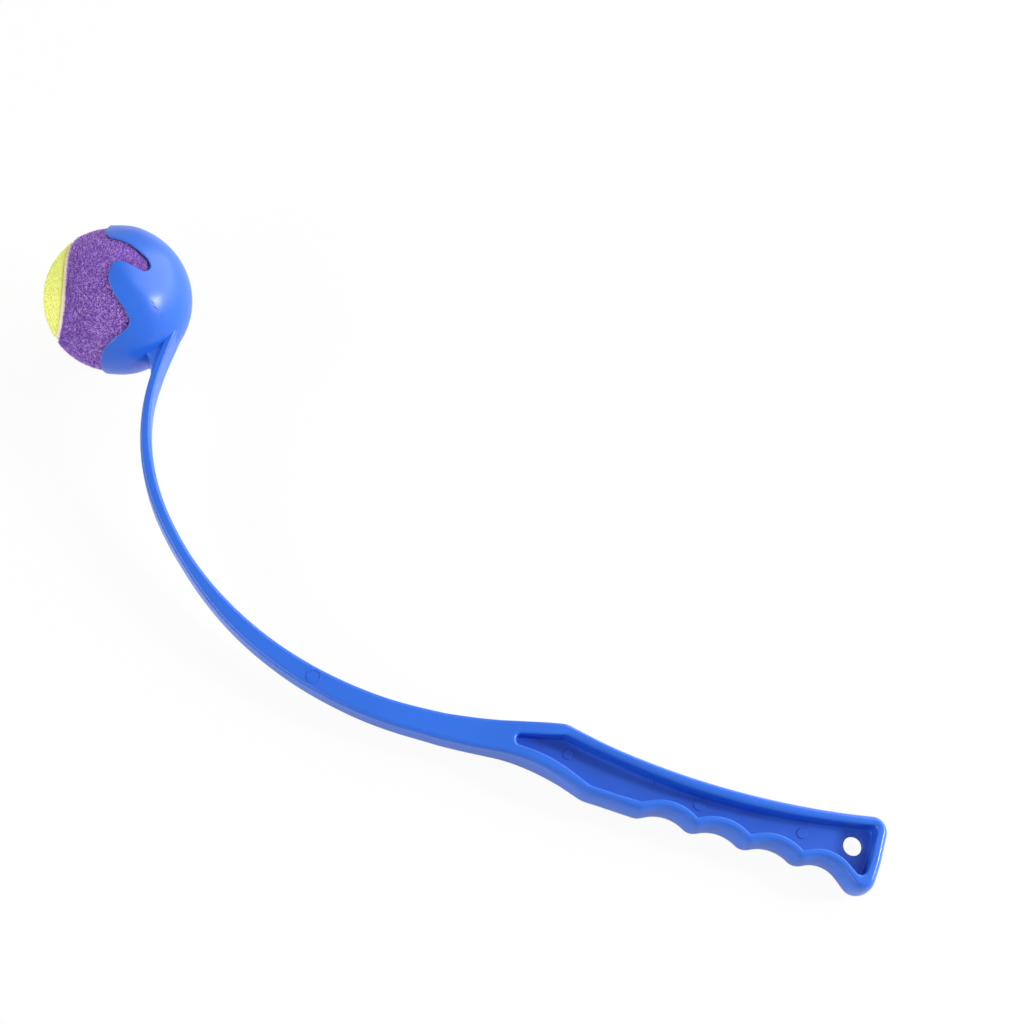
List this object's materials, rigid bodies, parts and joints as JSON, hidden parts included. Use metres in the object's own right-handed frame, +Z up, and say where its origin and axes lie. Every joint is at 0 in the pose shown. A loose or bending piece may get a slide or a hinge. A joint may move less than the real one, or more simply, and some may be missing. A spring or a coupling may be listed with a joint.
{
  "type": "ball launcher",
  "caption": "Hand-held ball launcher for dogs: a slim curved arm with a scalloped cup that grips a two-colour felt ball, and a recessed handle with finger grooves and a hanging hole.",
  "frame": {"origin": "under the middle of the part's box, on the surface that the launcher lies on", "axes": "+X along the handle towards its butt, +Y across the throwing plane from the finger grooves towards the cup, +Z up from the surface, with the launcher lying on its side on the cup and the grip's lower edge"},
  "size_m": [0.4308, 0.1812, 0.0686],
  "materials": {
    "moulding": "satin",
    "core_rubber": "matte",
    "core_cement": "matte",
    "purple_felt": "matte",
    "yellow_felt": "matte",
    "seam_rubber": "matte"
  },
  "bodies": {
    "launcher": {"cup": "moulding", "arm": "moulding", "handle": "moulding"},
    "ball": {"core_upper": "core_rubber", "core_lower": "core_rubber", "core_cement": "core_cement", "felt_purple": "purple_felt", "felt_yellow": "yellow_felt", "seam_bead": "seam_rubber"}
  },
  "joints": [
    {"name": "ball_release", "type": "slide", "parent": "launcher", "child": "ball", "axis": [-0.9659, -0.2551, -0.0437], "range_m": [0, 0.08]}
  ]
}
